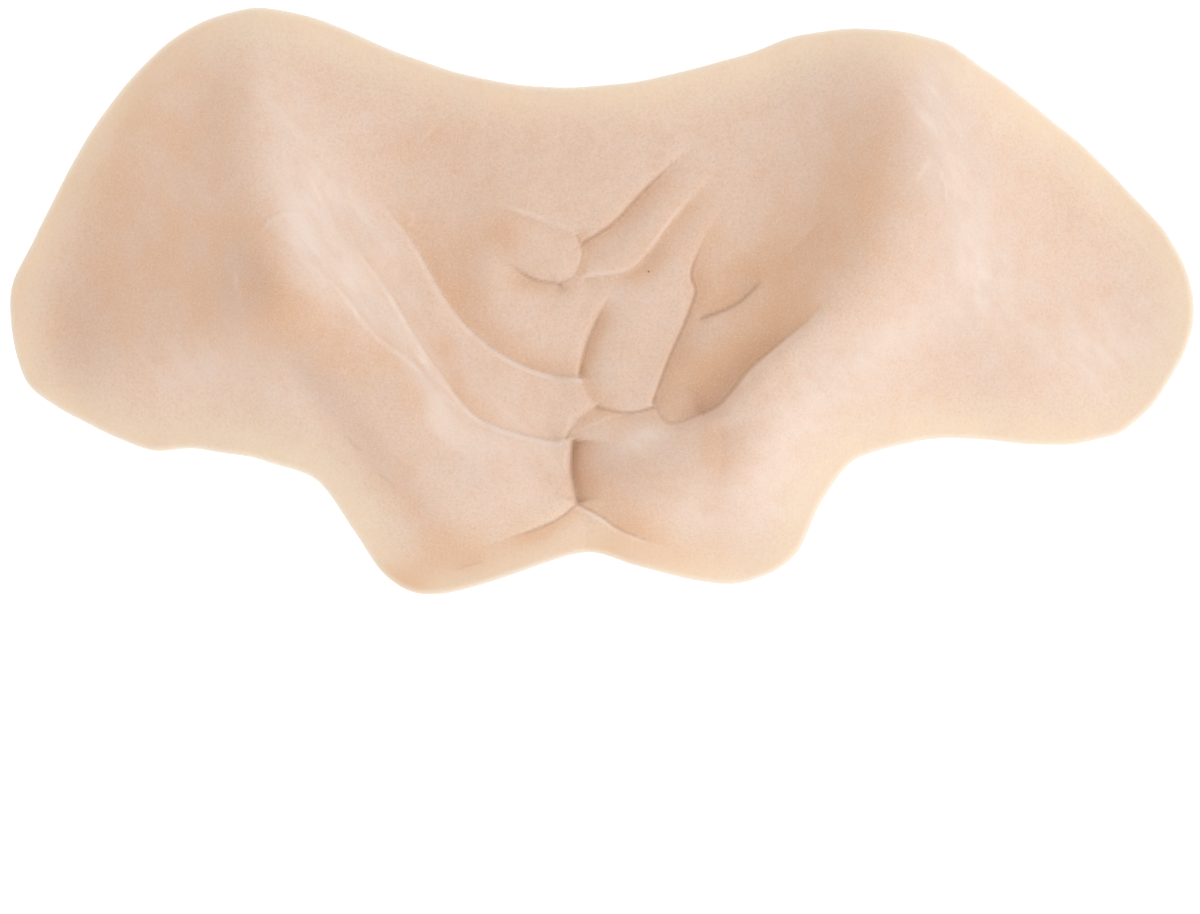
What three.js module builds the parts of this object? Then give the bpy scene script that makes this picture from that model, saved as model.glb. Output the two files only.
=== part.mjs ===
// A forehead prosthetic of cast foam rubber: one soft shell that covers the brow from temple to temple.
// It lies hollow side down, as it rests on a table. Millimetres: +X towards the wearer's left temple,
// +Y towards the hairline, +Z outwards from the face.
import * as THREE from "three";

// Outline
const SPAN = 170; // temple tip to temple tip
const DROP = 83.6; // hairline lobes to the tips beside the nose

// Hollow side, which follows the wearer's forehead
const HOLLOW_RISE = 16; // height of the hollow at the middle, without the brows
const TEMPLE_LAP = 3.5; // how far the curve would run below the table, where the temples lie flat instead
const LANDING = 1.5; // softness of the bend where the shell leaves the table

// Wall
const EDGE_WALL = 1.2; // at the feather edge, and the least left under a fold
const BODY_WALL = 3; // away from the edge, without the brows
const EDGE_TAPER = 22; // band along the outline in which the wall grows
const RELIEF_FADE = 12; // band along the outline in which the raised forms die out

// Raised and sunk forms of the outer face
const BROW_RISE = 14; // fullest rise of a brow ridge
const BROW_REACH = 28; // widest flank of a brow ridge
const SWELL_RISE = 2; // rise of a broad swelling of the whole shell
const PAD_RISE = 1.2; // rise of the fullest pad between two folds
const FOLD_DEPTH = 1.8; // deepest fold
const FOLD_WIDTH = 3.4; // usual side of a fold
const LIP_RISE = 0.6; // step between the two sides of a fold

// How much of a brow ridge the hollow side takes too, the rest being thickness
const BROW_IN_HOLLOW = 0.55;

// Form of the hollow: how flat its middle is, how softly it lands, and how far it falls
// towards the hairline, towards the eyes, and over the bridge of the nose
const MIDDLE_FLATNESS = 2.3;
const TEMPLE_SOFTNESS = 1.25;
const HAIRLINE_FALL = 0.08;
const EYE_FALL = 0.3;
const BRIDGE_SHARE = 0.2;
const EYE_FALL_START = 0.2;
const EYE_FALL_LENGTH = 0.9;
const BRIDGE_HALF_WIDTH = 0.3;

// Mesh
const COLUMNS = 96; // along the span
const FRONT_ROWS = 48; // from the eyes to the hairline, outer face
const BACK_ROWS = 12; // the same, hollow face
const COLUMN_FOCUS = 0.45; // under 1 sets the columns closer in the middle
const OUTLINE_STEPS = 220;
const CREST_STEPS = 48;
const FOLD_STEPS = 24;

// All places below are shares of half the span and half the drop, from the middle of the outline.
// Outline rows: across, up
const HAIRLINE = [
  [-1, 0],
  [-0.958, 0.22],
  [-0.843, 0.643],
  [-0.713, 0.911],
  [-0.595, 1],
  [-0.476, 0.962],
  [-0.291, 0.811],
  [-0.164, 0.746],
  [-0.037, 0.732],
  [0.098, 0.766],
  [0.233, 0.838],
  [0.334, 0.911],
  [0.444, 0.929],
  [0.571, 0.887],
  [0.647, 0.79],
  [0.757, 0.629],
  [0.875, 0.412],
  [0.963, 0.206],
  [1, -0.03],
];
const BROWLINE = [
  [-1, 0],
  [-0.975, -0.26],
  [-0.89, -0.393],
  [-0.764, -0.505],
  [-0.662, -0.509],
  [-0.561, -0.553],
  [-0.48, -0.61],
  [-0.417, -0.786],
  [-0.367, -0.932],
  [-0.307, -1],
  [-0.206, -0.973],
  [-0.032, -0.859],
  [0.064, -0.906],
  [0.166, -0.959],
  [0.25, -0.955],
  [0.326, -0.866],
  [0.368, -0.687],
  [0.427, -0.542],
  [0.571, -0.471],
  [0.774, -0.491],
  [0.892, -0.426],
  [0.976, -0.206],
  [1, -0.03],
];

// Brow ridges from the hairline down to the middle
// Rows: across, up, rise as a share of BROW_RISE, then outer and inner flank as shares of BROW_REACH
const RIGHT_BROW = [
  [-0.67, 1.03, 0.29, 0.7, 0.5],
  [-0.645, 0.88, 0.45, 0.6, 0.46],
  [-0.62, 0.7, 0.58, 0.54, 0.43],
  [-0.595, 0.48, 0.66, 0.46, 0.5],
  [-0.575, 0.225, 0.75, 0.39, 0.5],
  [-0.545, 0, 0.75, 0.36, 0.5],
  [-0.475, -0.17, 0.68, 0.43, 0.46],
  [-0.38, -0.36, 0.64, 0.5, 0.39],
  [-0.265, -0.53, 0.57, 0.46, 0.36],
  [-0.15, -0.69, 0.47, 0.43, 0.29],
  [-0.045, -0.79, 0.34, 0.43, 0.25],
];
const LEFT_BROW = [
  [0.47, 1.065, 0.32, 0.57, 0.4],
  [0.495, 0.91, 0.54, 0.54, 0.4],
  [0.515, 0.72, 0.79, 0.54, 0.43],
  [0.52, 0.48, 0.89, 0.5, 0.46],
  [0.5, 0.225, 0.96, 0.54, 0.46],
  [0.43, 0, 0.93, 0.6, 0.4],
  [0.345, -0.17, 0.84, 0.57, 0.32],
  [0.265, -0.36, 0.7, 0.54, 0.32],
  [0.19, -0.53, 0.6, 0.5, 0.36],
  [0.08, -0.69, 0.46, 0.43, 0.46],
  [-0.02, -0.79, 0.3, 0.39, 0.46],
];

// Broad swellings of the whole shell
// Rows: across, up, half length and half width as shares of half the span, turn in degrees,
// rise as a share of SWELL_RISE
const SWELLINGS = [
  [-0.78, -0.2, 0.17, 0.125, 0, 1.3],
  [-0.535, 0.035, 0.101, 0.068, -30, 0.6],
  [0.74, -0.2, 0.18, 0.11, -10, 0.8],
  [-0.34, 0.38, 0.186, 0.152, 0, -1],
  [0.267, -0.69, 0.101, 0.101, 0, 0.4],
  [-0.3, -0.37, 0.1, 0.06, -30, 0.5],
];

// Pads between the folds, with the same columns, and the rise as a share of PAD_RISE
const PADS = [
  [-0.165, -0.585, 0.118, 0.076, -5, 0.8],
  [0.12, -0.6, 0.118, 0.081, 0, 0.6],
  [-0.105, 0.19, 0.081, 0.041, -25, 0.65],
  [0.073, 0.258, 0.135, 0.034, 50, 0.35],
  [0.064, -0.086, 0.203, 0.057, 62, 0.6],
  [0.2, -0.155, 0.144, 0.044, 47, 0.6],
  [-0.12, -0.086, 0.111, 0.071, -20, 0.45],
  [-0.17, -0.258, 0.169, 0.041, -38, 0.6],
  [-0.36, 0, 0.22, 0.044, -52, 0.5],
];

// Folds. depth and step are shares of FOLD_DEPTH and LIP_RISE, and a step above 0 raises the side
// on the left of the way along the path. sides are the widths on the left and the right, as shares
// of FOLD_WIDTH. fade is the share of the length over which the fold starts and ends.
const FOLDS = [
  {
    name: "centre cleft",
    path: [[-0.047, -0.467], [-0.05, -0.58], [-0.039, -0.694]],
    depth: 1.2,
    sides: [1.1, 0.5],
    step: -0.5,
    fade: [0.05, 0.05],
  },
  {
    name: "bridge, right side",
    path: [[-0.041, -0.69], [-0.073, -0.742], [-0.12, -0.784], [-0.164, -0.811], [-0.257, -0.88]],
    depth: 0.5,
    sides: [0.8, 0.5],
    step: -0.6,
    fade: [0, 0.6],
  },
  {
    name: "bridge, left side",
    path: [[-0.041, -0.69], [0, -0.735], [0.03, -0.777], [0.09, -0.825], [0.149, -0.856]],
    depth: 0.55,
    sides: [1, 0.5],
    step: -0.6,
    fade: [0, 0.6],
  },
  {
    name: "outer furrow",
    path: [
      [-0.463, 0.447], [-0.41, 0.19], [-0.36, 0.05], [-0.3125, -0.117],
      [-0.265, -0.258], [-0.2145, -0.385], [-0.164, -0.436], [-0.061, -0.471],
    ],
    depth: 0.45,
    sides: [0.9, 0.5],
    step: -0.7,
    fade: [0.3, 0],
  },
  {
    name: "inner furrow",
    path: [
      [-0.443, 0.488], [-0.33, 0.24], [-0.265, 0.017], [-0.215, -0.107],
      [-0.149, -0.203], [-0.085, -0.25], [-0.037, -0.261],
    ],
    depth: 0.5,
    sides: [1.1, 0.5],
    step: -0.7,
    fade: [0.3, 0],
  },
  {
    name: "brow furrow",
    path: [
      [-0.51, 0.17], [-0.441, 0.0515], [-0.383, -0.1],
      [-0.328, -0.189], [-0.297, -0.251], [-0.274, -0.344],
    ],
    depth: 0.22,
    sides: [0.7, 0.5],
    step: -0.4,
    fade: [0.4, 0.3],
  },
  {
    name: "frown line",
    path: [[0.024, 0.065], [-0.02, -0.124], [-0.037, -0.247]],
    depth: 0.7,
    sides: [0.75, 0.5],
    step: -0.5,
    fade: [0.3, 0],
  },
  {
    name: "frown foot",
    path: [[-0.037, -0.247], [-0.027, -0.309], [-0.01, -0.361]],
    depth: 0.5,
    sides: [1, 0.5],
    step: -0.3,
    fade: [0, 0],
  },
  {
    name: "knot",
    path: [[-0.01, -0.361], [-0.044, -0.412], [-0.061, -0.471]],
    depth: 0.6,
    sides: [0.8, 0.5],
    step: -0.4,
    fade: [0, 0],
  },
  {
    name: "pad foot",
    path: [[-0.01, -0.361], [0.044, -0.381], [0.091, -0.361]],
    depth: 0.45,
    sides: [0.5, 0.7],
    step: 0.3,
    fade: [0, 0],
  },
  {
    name: "left furrow",
    path: [
      [0.225, 0.426], [0.162, 0.165], [0.15, 0.086], [0.157, 0.03],
      [0.14, -0.07], [0.111, -0.206], [0.086, -0.344],
    ],
    depth: 0.5,
    sides: [1, 0.5],
    step: -0.7,
    fade: [0.5, 0],
  },
  {
    name: "hook",
    path: [[0.086, -0.344], [0.111, -0.416], [0.167, -0.385]],
    depth: 0.45,
    sides: [0.7, 0.5],
    step: -0.4,
    fade: [0, 0],
  },
  {
    name: "deep furrow",
    path: [
      [0.167, -0.385], [0.2, -0.345], [0.247, -0.23],
      [0.2925, -0.151], [0.35, -0.055], [0.389, 0.03],
    ],
    depth: 1.2,
    sides: [1.6, 0.5],
    step: -1,
    fade: [0, 0.5],
  },
  {
    name: "side wrinkle",
    path: [[0.155, -0.069], [0.226, -0.01], [0.28, 0.096]],
    depth: 0.4,
    sides: [1.1, 0.5],
    step: -0.4,
    fade: [0.1, 0.3],
  },
  {
    name: "upper furrow",
    path: [[-0.032, 0.196], [0.022, 0.268], [0.079, 0.392], [0.174, 0.57]],
    depth: 0.5,
    sides: [0.5, 1],
    step: 0.4,
    fade: [0, 0.5],
  },
  {
    name: "middle furrow",
    path: [[-0.024, 0.076], [0.054, 0.113], [0.127, 0.292], [0.209, 0.481]],
    depth: 0.45,
    sides: [0.5, 0.9],
    step: 0.5,
    fade: [0, 0.4],
  },
  {
    name: "thumb top",
    path: [[-0.209, 0.344], [-0.132, 0.292], [-0.042, 0.223]],
    depth: 0.2,
    sides: [0.7, 0.5],
    step: 0.4,
    fade: [0.5, 0],
  },
  {
    name: "thumb end",
    path: [[-0.042, 0.223], [-0.032, 0.165], [-0.044, 0.089], [-0.071, 0.058]],
    depth: 0.5,
    sides: [0.7, 0.5],
    step: -0.6,
    fade: [0, 0],
  },
  {
    name: "thumb foot",
    path: [[-0.071, 0.058], [-0.12, 0.08], [-0.179, 0.165]],
    depth: 0.4,
    sides: [0.9, 0.5],
    step: -0.6,
    fade: [0, 0.5],
  },
  {
    name: "thumb tie",
    path: [[-0.071, 0.058], [-0.02, 0.076]],
    depth: 0.2,
    sides: [0.5, 0.5],
    step: 0.1,
    fade: [0, 0],
  },
];

// Shape of a brow's bells and of a fold's sides, as plain ratios
const BELL_LENGTH = 0.21; // of BROW_REACH, along the crest
const BELL_SHARPNESS = 4; // the power that joins neighbouring bells into one ridge
const BELL_LEVEL = 0.86; // brings the joined bells back to the crest's own rise
const FLANK_BLEND = 0.14; // of BROW_REACH, over which the outer flank turns into the inner one
const BROW_JOINT = 0.35; // how much the lower ridge adds where the two meet
const FOLD_ROUNDING = 0.12; // of FOLD_WIDTH, at the bottom of a fold
const FOLD_POWER = 0.85;
const FOLD_FALL = 1.6;
const STEP_REACH = 1.4; // of a fold's side
const STEP_BLEND = 0.25; // of FOLD_WIDTH
const STEP_STOP = 0.25; // of a fold's side, past the fold's ends
const FOLD_LIMIT = 3; // of a fold's side, past which nothing moves
const FOLD_JOIN = 3; // the power that joins valleys, so that they don't add up where they meet
const PAD_LIMIT = 1.25; // of a pad's half sizes

// Even tension, so that a fold or a crest runs through its points without bulging
const CURVE_TENSION = 0.5;

// Finish of the rubber, before any of its mottling
const RUBBER_COLOUR = 0xe6c9b2;
const RUBBER_ROUGHNESS = 0.85;

const place = ([across, up]) => new THREE.Vector3((across * SPAN) / 2, (up * DROP) / 2, 0);

function smooth(t) {
  const c = Math.min(1, Math.max(0, t));
  return c * c * (3 - 2 * c);
}

// The angle, as a share of half a turn, at which a round-ended span reaches a place across it
const turnAt = (across) => Math.acos(Math.min(1, Math.max(-1, -across))) / Math.PI;

// Smooth curve through the rows of an outline table, by the angle of turnAt, so both tips come out round
function edgeHeight(rows, turn) {
  const t = rows.map(([across]) => turnAt(across));
  const y = rows.map(([, up]) => up);
  const last = rows.length - 1;
  const slopeAt = (k) => {
    const a = Math.max(0, k - 1);
    const b = Math.min(last, k + 1);
    return (y[b] - y[a]) / (t[b] - t[a]);
  };
  let i = 0;
  while (i < last - 1 && turn > t[i + 1]) i += 1;
  const h = t[i + 1] - t[i];
  const f = (turn - t[i]) / h;
  const g = 1 - f;
  const values = (1 + 2 * f) * g * g * y[i] + f * f * (3 - 2 * f) * y[i + 1];
  const slopes = f * g * g * h * slopeAt(i) - f * f * g * h * slopeAt(i + 1);
  return values + slopes;
}

// The two edges over one column, in millimetres, stretched so that the outline is exactly DROP high
function outline() {
  const turns = Array.from({ length: OUTLINE_STEPS + 1 }, (_, k) => k / OUTLINE_STEPS);
  const high = Math.max(...turns.map((turn) => edgeHeight(HAIRLINE, turn)));
  const low = Math.min(...turns.map((turn) => edgeHeight(BROWLINE, turn)));
  const scale = DROP / (high - low);
  const at = (rows, turn) => (edgeHeight(rows, turn) - (high + low) / 2) * scale;
  const point = (rows, turn) => [(-Math.cos(Math.PI * turn) * SPAN) / 2, at(rows, turn)];
  const ring = [
    ...turns.map((turn) => point(BROWLINE, turn)),
    ...turns.slice(1, -1).reverse().map((turn) => point(HAIRLINE, turn)),
  ];
  return { at, ring: [...ring, ring[0]] };
}

// Distance from a point to a line of points, its side (left of the way along is above 0),
// and the share of the line's pieces passed
function nearest(x, y, line) {
  let best = Infinity;
  let side = 0;
  let share = 0;
  for (let k = 0; k + 1 < line.length; k += 1) {
    const [ax, ay] = line[k];
    const [bx, by] = line[k + 1];
    const dx = bx - ax;
    const dy = by - ay;
    const f = Math.min(1, Math.max(0, ((x - ax) * dx + (y - ay) * dy) / (dx * dx + dy * dy)));
    const distance = Math.hypot(x - ax - f * dx, y - ay - f * dy);
    if (distance < best) {
      best = distance;
      side = Math.sign(dx * (y - ay) - dy * (x - ax));
      share = (k + f) / (line.length - 1);
    }
  }
  return { distance: best, side, share };
}

function curvePoints(path, steps) {
  const curve = new THREE.CatmullRomCurve3(path.map(place), false, "catmullrom", CURVE_TENSION);
  return curve.getPoints(steps).map((p) => [p.x, p.y]);
}

// A brow ridge: bells along its crest, each with its own rise and its own two flanks
function crestBells(rows, outward) {
  const points = curvePoints(rows, CREST_STEPS);
  return points.map(([x, y], k) => {
    const before = points[Math.max(0, k - 1)];
    const after = points[Math.min(points.length - 1, k + 1)];
    const length = Math.hypot(after[0] - before[0], after[1] - before[1]);
    const along = [(after[0] - before[0]) / length, (after[1] - before[1]) / length];
    const s = (k / (points.length - 1)) * (rows.length - 1);
    const i = Math.min(rows.length - 2, Math.floor(s));
    const [rise, outer, inner] = [2, 3, 4].map((c) => rows[i][c] + (s - i) * (rows[i + 1][c] - rows[i][c]));
    return { x, y, along, outward, rise: rise * BROW_RISE, outer: outer * BROW_REACH, inner: inner * BROW_REACH };
  });
}

function crestRise(bells, x, y) {
  let sum = 0;
  for (const bell of bells) {
    const dx = x - bell.x;
    const dy = y - bell.y;
    const along = dx * bell.along[0] + dy * bell.along[1];
    const out = bell.outward * (dy * bell.along[0] - dx * bell.along[1]);
    const turn = Math.tanh(out / (FLANK_BLEND * BROW_REACH));
    const flank = (bell.outer + bell.inner) / 2 + ((bell.outer - bell.inner) / 2) * turn;
    const fall = (along / (BELL_LENGTH * BROW_REACH)) ** 2 + (out / flank) ** 2;
    sum += (bell.rise * Math.exp(-fall)) ** BELL_SHARPNESS;
  }
  return BELL_LEVEL * sum ** (1 / BELL_SHARPNESS);
}

// A rounded mound on a turned ellipse
function mound([across, up, long, wide, degrees, rise], x, y, fullRise) {
  const centre = place([across, up]);
  const turn = THREE.MathUtils.degToRad(degrees);
  const dx = x - centre.x;
  const dy = y - centre.y;
  const u = (dx * Math.cos(turn) + dy * Math.sin(turn)) / ((long * SPAN) / 2);
  const v = (dy * Math.cos(turn) - dx * Math.sin(turn)) / ((wide * SPAN) / 2);
  return rise * fullRise * (1 - smooth(Math.hypot(u, v) / PAD_LIMIT));
}

// How far a point lies past an end of a line
function past(x, y, end, inner) {
  const length = Math.hypot(end[0] - inner[0], end[1] - inner[1]);
  return Math.max(0, ((x - end[0]) * (end[0] - inner[0]) + (y - end[1]) * (end[1] - inner[1])) / length);
}

// A fold: a narrow valley along its path, and a step that leaves one side higher than the other
function foldParts({ line, depth, sides, step, fade }, x, y) {
  const { distance, side, share } = nearest(x, y, line);
  const width = (side > 0 ? sides[0] : sides[1]) * FOLD_WIDTH;
  if (distance > 2 * FOLD_LIMIT * width) return { valley: 0, lip: 0 };
  const last = line.length - 1;
  const over = Math.max(past(x, y, line[0], line[1]), past(x, y, line[last], line[last - 1]));
  const round = Math.hypot(distance, FOLD_ROUNDING * FOLD_WIDTH) / width;
  const valley = depth * FOLD_DEPTH * Math.exp(-FOLD_FALL * round ** FOLD_POWER - (over / width) ** 2);
  const across = side * Math.tanh(distance / (STEP_BLEND * FOLD_WIDTH));
  const stop = Math.exp(-distance / (STEP_REACH * width) - over / (STEP_STOP * width));
  const lip = (step * LIP_RISE * across * stop) / 2;
  const start = fade[0] > 0 ? smooth(share / fade[0]) : 1;
  const end = fade[1] > 0 ? smooth((1 - share) / fade[1]) : 1;
  const beyond = Math.max(0, distance / width - FOLD_LIMIT);
  const here = start * end * Math.exp(-beyond * beyond);
  return { valley: valley * here, lip: lip * here };
}

// All folds over one point: the steps added up, less the valleys
function foldsRise(folds, x, y) {
  let depth = 0;
  let steps = 0;
  for (const fold of folds) {
    const { valley, lip } = foldParts(fold, x, y);
    depth += valley ** FOLD_JOIN;
    steps += lip;
  }
  return steps - depth ** (1 / FOLD_JOIN);
}

function makeForms() {
  const edge = outline();
  const right = crestBells(RIGHT_BROW, -1);
  const left = crestBells(LEFT_BROW, 1);
  const folds = FOLDS.map((fold) => ({ ...fold, line: curvePoints(fold.path, FOLD_STEPS) }));

  const brows = (x, y) => {
    const a = crestRise(right, x, y);
    const b = crestRise(left, x, y);
    const ridges = Math.max(a, b) + BROW_JOINT * Math.min(a, b);
    return SWELLINGS.reduce((sum, row) => sum + mound(row, x, y, SWELL_RISE), ridges);
  };

  // The hollow side, which meets the table softly and never passes below it
  const hollow = (x, y, brow) => {
    const across = Math.min(1, Math.abs((2 * x) / SPAN));
    const up = (2 * y) / DROP;
    const arch = (1 - across ** MIDDLE_FLATNESS) ** TEMPLE_SOFTNESS;
    const bridge = BRIDGE_SHARE + (1 - BRIDGE_SHARE) * smooth(across / BRIDGE_HALF_WIDTH);
    const eyes = EYE_FALL * bridge * smooth((-EYE_FALL_START - up) / EYE_FALL_LENGTH);
    const fall = (1 - HAIRLINE_FALL * smooth(up)) * (1 - eyes);
    const z = (HOLLOW_RISE + TEMPLE_LAP) * arch * fall - TEMPLE_LAP + BROW_IN_HOLLOW * brow;
    if (z > LANDING) return z;
    return z < -LANDING ? 0 : (z + LANDING) ** 2 / (4 * LANDING);
  };

  // Both faces over one point
  const faces = (x, y) => {
    const brow = brows(x, y);
    const inner = hollow(x, y, brow);
    const { distance } = nearest(x, y, edge.ring);
    const wall = EDGE_WALL + (BODY_WALL - EDGE_WALL) * smooth(distance / EDGE_TAPER);
    const pads = PADS.reduce((sum, row) => sum + mound(row, x, y, PAD_RISE), 0);
    const raised = (1 - BROW_IN_HOLLOW) * brow + pads + foldsRise(folds, x, y);
    const thickness = Math.max(EDGE_WALL, wall + raised * smooth(distance / RELIEF_FADE));
    return { inner, outer: inner + thickness };
  };

  return { edge, faces };
}

// Columns stand across the span, closer in the middle, and close up again at the round tips
function columnTurn(k) {
  const t = (2 * k) / COLUMNS - 1;
  const focused = COLUMN_FOCUS * t + (1 - COLUMN_FOCUS) * t ** 3;
  return (focused + 1) / 2;
}

function shellGeometry() {
  const { edge, faces } = makeForms();
  const positions = [];
  const triangles = [];

  // One face as columns of vertex numbers, where each tip is a single vertex
  const addFace = (rows, key) =>
    Array.from({ length: COLUMNS + 1 }, (_, k) => {
      const turn = columnTurn(k);
      const x = (-Math.cos(Math.PI * turn) * SPAN) / 2;
      const low = edge.at(BROWLINE, turn);
      const high = edge.at(HAIRLINE, turn);
      const tip = k === 0 || k === COLUMNS;
      const count = tip ? 0 : rows;
      const column = Array.from({ length: count + 1 }, (_unused, j) => {
        const y = tip ? low : low + ((high - low) * j) / rows;
        positions.push(x, y, faces(x, y)[key]);
        return positions.length / 3 - 1;
      });
      return tip ? Array(rows + 1).fill(column[0]) : column;
    });

  const addQuad = (a, b, c, d) => {
    if (a !== b && b !== c && c !== a) triangles.push(a, b, c);
    if (a !== c && c !== d && d !== a) triangles.push(a, c, d);
  };

  const front = addFace(FRONT_ROWS, "outer");
  const back = addFace(BACK_ROWS, "inner");
  for (let k = 0; k < COLUMNS; k += 1) {
    for (let j = 0; j < FRONT_ROWS; j += 1) {
      addQuad(front[k][j], front[k + 1][j], front[k + 1][j + 1], front[k][j + 1]);
    }
    for (let j = 0; j < BACK_ROWS; j += 1) {
      addQuad(back[k][j], back[k][j + 1], back[k + 1][j + 1], back[k + 1][j]);
    }
    addQuad(back[k][0], back[k + 1][0], front[k + 1][0], front[k][0]);
    addQuad(back[k + 1][BACK_ROWS], back[k][BACK_ROWS], front[k][FRONT_ROWS], front[k + 1][FRONT_ROWS]);
  }

  const geometry = new THREE.BufferGeometry();
  geometry.setAttribute("position", new THREE.Float32BufferAttribute(positions, 3));
  geometry.setIndex(triangles);
  geometry.computeVertexNormals();
  return geometry;
}

const foamRubber = () =>
  new THREE.MeshStandardMaterial({ color: RUBBER_COLOUR, roughness: RUBBER_ROUGHNESS, metalness: 0 });

function foreheadPiece() {
  const mesh = new THREE.Mesh(shellGeometry(), foamRubber());
  mesh.name = "forehead_piece";
  return mesh;
}

const part = new THREE.Group();
part.name = "forehead_prosthetic";
part.add(foreheadPiece());
export default part;
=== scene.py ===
import math

import bpy
import numpy as np
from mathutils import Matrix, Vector


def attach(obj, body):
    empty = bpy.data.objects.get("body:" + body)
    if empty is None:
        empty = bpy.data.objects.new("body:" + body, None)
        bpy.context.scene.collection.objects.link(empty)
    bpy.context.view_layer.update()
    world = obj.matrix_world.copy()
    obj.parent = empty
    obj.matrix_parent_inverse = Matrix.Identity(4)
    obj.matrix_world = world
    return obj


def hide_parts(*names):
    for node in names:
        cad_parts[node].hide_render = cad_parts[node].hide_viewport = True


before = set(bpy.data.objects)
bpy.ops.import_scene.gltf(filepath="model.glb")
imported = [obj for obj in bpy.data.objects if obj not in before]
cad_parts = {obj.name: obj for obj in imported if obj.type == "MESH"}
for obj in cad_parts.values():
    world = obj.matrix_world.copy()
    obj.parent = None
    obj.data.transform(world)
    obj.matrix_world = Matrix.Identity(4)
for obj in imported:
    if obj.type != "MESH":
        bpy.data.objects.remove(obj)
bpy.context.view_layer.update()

# A cast foam-rubber forehead piece, lying hollow side down on a pale table.
# Lengths are in millimetres until a mesh is made. +X is towards the wearer's left temple,
# +Y towards the hairline and +Z outwards from the face.
METRE = 0.001

# Outline
SPAN = 170.0  # temple tip to temple tip
DROP = 83.6  # hairline lobes to the tips beside the nose
EDGE_WAVER = 0.08  # how far the thin edge wavers
TIP_SHARE = 0.06  # share of the span over which the waver starts at each temple

# Hollow side, which follows the wearer's forehead
HOLLOW_RISE = 16.0  # height of the hollow at the middle, without the brows
TEMPLE_LAP = 3.5  # how far the curve would run below the table, where the temples lie flat instead
LANDING = 1.5  # softness of the bend where the shell leaves the table
BROW_IN_HOLLOW = 0.55  # how much of a brow ridge the hollow side takes too
MIDDLE_FLATNESS = 2.3
TEMPLE_SOFTNESS = 1.25
HAIRLINE_FALL = 0.08
EYE_FALL = 0.3
BRIDGE_SHARE = 0.2
EYE_FALL_START = 0.2
EYE_FALL_LENGTH = 0.9
BRIDGE_HALF_WIDTH = 0.3

# Wall
EDGE_WALL = 1.2  # at the feather edge, and the least left under a fold
EDGE_LIP = 0.3  # height at which the edge starts to round over
EDGE_ROUND = 0.9  # width of that rounding
BODY_WALL = 3.0  # away from the edge, without the brows
EDGE_TAPER = 22.0  # band along the outline in which the wall grows
RELIEF_FADE = 12.0  # band along the outline in which the raised forms die out

# Raised and sunk forms of the outer face
BROW_RISE = 14.0  # fullest rise of a brow ridge
BROW_REACH = 28.0  # widest flank of a brow ridge
SWELL_RISE = 2.0  # rise of a broad swelling of the whole shell
PAD_RISE = 1.1  # rise of the fullest pad between two folds
FOLD_DEPTH = 1.9  # deepest fold
FOLD_WIDTH = 2.6  # usual side of a fold
LIP_RISE = 0.95  # step between the two sides of a fold

# Unevenness of a hand-made form: its height, and the length and seed of each set of waves
HAND_UNEVENNESS = 0.07
BROAD_WAVES = (17, 3)
FINE_WAVES = (6, 5)
FINE_WAVE_SHARE = 0.25
BROWLINE_WAVES = (6.5, 11)
HAIRLINE_WAVES = (7.5, 12)
WAVE_COUNT = 14
WAVE_SPREAD = (0.7, 1.5)

# Mesh
COLUMNS = 384  # along the span
FRONT_ROWS = 216  # from the eyes to the hairline, outer face
BACK_ROWS = 38  # the same, hollow face
COLUMN_FOCUS = 0.42  # under 1 sets the columns closer in the middle
ROW_FOCUS = 0.3  # above 0 sets the rows closer at both ends
OUTLINE_STEPS = 300
CREST_STEPS = 48
FOLD_STEPS = 24

# Places are shares of half the span and half the drop. Outline rows: across, up
HAIRLINE = [
    (-1, 0), (-0.958, 0.22), (-0.843, 0.643), (-0.713, 0.911), (-0.595, 1), (-0.476, 0.962),
    (-0.291, 0.811), (-0.164, 0.746), (-0.037, 0.732), (0.098, 0.766), (0.233, 0.838),
    (0.334, 0.911), (0.444, 0.929), (0.571, 0.887), (0.647, 0.79), (0.757, 0.629),
    (0.875, 0.412), (0.963, 0.206), (1, -0.03),
]
BROWLINE = [
    (-1, 0), (-0.975, -0.26), (-0.89, -0.393), (-0.764, -0.505), (-0.662, -0.509),
    (-0.561, -0.553), (-0.48, -0.61), (-0.417, -0.786), (-0.367, -0.932), (-0.307, -1),
    (-0.206, -0.973), (-0.032, -0.859), (0.064, -0.906), (0.166, -0.959), (0.25, -0.955),
    (0.326, -0.866), (0.368, -0.687), (0.427, -0.542), (0.571, -0.471), (0.774, -0.491),
    (0.892, -0.426), (0.976, -0.206), (1, -0.03),
]

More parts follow.
